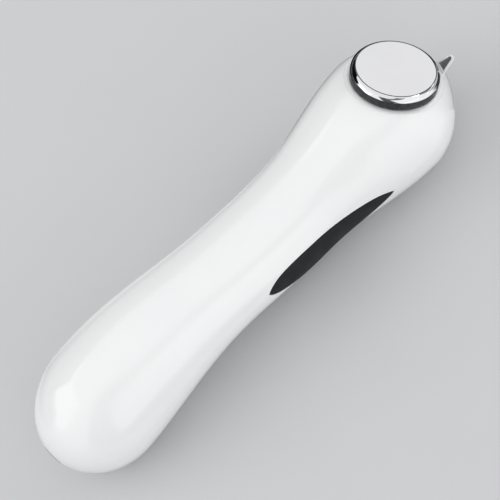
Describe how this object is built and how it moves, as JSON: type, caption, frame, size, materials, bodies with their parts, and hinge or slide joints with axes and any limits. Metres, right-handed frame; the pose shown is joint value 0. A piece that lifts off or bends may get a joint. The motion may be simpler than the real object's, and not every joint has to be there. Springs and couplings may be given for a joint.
{
  "type": "facial massager",
  "caption": "Handheld waisted two-bulb facial massager with a tilted metal treatment plate, clear cotton ring, dark side inlays and push buttons on its back.",
  "frame": {"origin": "centre of the bounding box in X and Y, on the plane of the two flats that the back rests on", "axes": "+X from the tail bulb to the head, +Z out of the front, where the treatment plate is"},
  "size_m": [0.1952, 0.049, 0.0476],
  "materials": {
    "shell_white": "glossy white, polished mould",
    "inlay_grey": "satin dark grey",
    "plate_chrome": "mirror chrome with a flat face",
    "gasket": "soft grey silicone",
    "inner_plastic": "natural moulded plastic",
    "screw_steel": "zinc plated steel",
    "heater_film": "amber film heater",
    "black_part": "black moulded plastic",
    "ring_clear": "clear, polished edges",
    "panel_grey": "glossy grey",
    "button_white": "glossy white",
    "light_pipe": "clear, faintly blue",
    "led": "pale yellow",
    "board_green": "green solder mask",
    "coil_ferrite": "dark ferrite and wire",
    "capacitor_sleeve": "dark blue sleeve",
    "cell_wrap": "blue shrink wrap over a metal can",
    "foam": "closed-cell foam",
    "motor_can": "bright steel can",
    "weight": "sintered metal",
    "lead_red": "red insulation",
    "lead_black": "black insulation",
    "lead_blue": "blue insulation",
    "lead_yellow": "yellow insulation",
    "lead_green": "green insulation",
    "bezel_grey": "glossy grey",
    "cap_white": "white silicone"
  },
  "bodies": {
    "housing": {"front_shell": "shell_white", "rear_shell": "shell_white", "left_grip_inlay": "inlay_grey", "right_grip_inlay": "inlay_grey", "treatment_plate": "plate_chrome", "plate_gasket": "gasket", "plate_carrier": "inner_plastic", "plate_screws": "screw_steel", "heater_pad": "heater_film", "thermistor": "black_part", "control_panel": "panel_grey", "switch_bodies": "black_part", "light_pipes": "light_pipe", "indicator_leds": "led", "main_board": "board_green", "board_screws": "screw_steel", "controller_chip": "black_part", "charger_chip": "black_part", "boost_coil": "coil_ferrite", "capacitors": "capacitor_sleeve", "buzzer": "black_part", "wire_connectors": "inner_plastic", "charging_jack": "black_part", "jack_bezel": "bezel_grey", "battery_cell": "cell_wrap", "battery_tray": "inner_plastic", "tray_screws": "screw_steel", "cell_foam": "foam", "vibration_motor": "motor_can", "motor_damper": "black_part", "motor_cradle": "inner_plastic", "motor_clamp": "inner_plastic", "motor_screws": "screw_steel", "battery_leads": "lead_red", "charge_leads": "lead_black", "motor_leads": "lead_blue", "plate_leads": "lead_yellow", "grip_leads": "lead_green", "housing_screws": "screw_steel", "screw_caps": "cap_white"},
    "cotton_ring": {"cotton_ring": "ring_clear"},
    "power_button": {"power_button": "button_white", "power_plunger": "black_part"},
    "mode_button": {"mode_button": "button_white", "mode_plunger": "black_part"},
    "rotor": {"motor_shaft": "screw_steel", "eccentric_weight": "weight"}
  },
  "joints": [
    {"name": "cotton_ring_lift", "type": "slide", "parent": "housing", "child": "cotton_ring", "axis": [0.5793, 0, 0.8151], "range_m": [0, 0.012]},
    {"name": "power_button_press", "type": "slide", "parent": "housing", "child": "power_button", "axis": [0, 0, 1], "range_m": [0, 0.0004], "stiffness_N_per_m": 2000},
    {"name": "mode_button_press", "type": "slide", "parent": "housing", "child": "mode_button", "axis": [0, 0, 1], "range_m": [0, 0.0004], "stiffness_N_per_m": 2000},
    {"name": "motor_spin", "type": "hinge", "parent": "housing", "child": "rotor", "pos_m": [0.07032, 0, 0.0132], "axis": [1, 0, 0], "continuous": true}
  ]
}
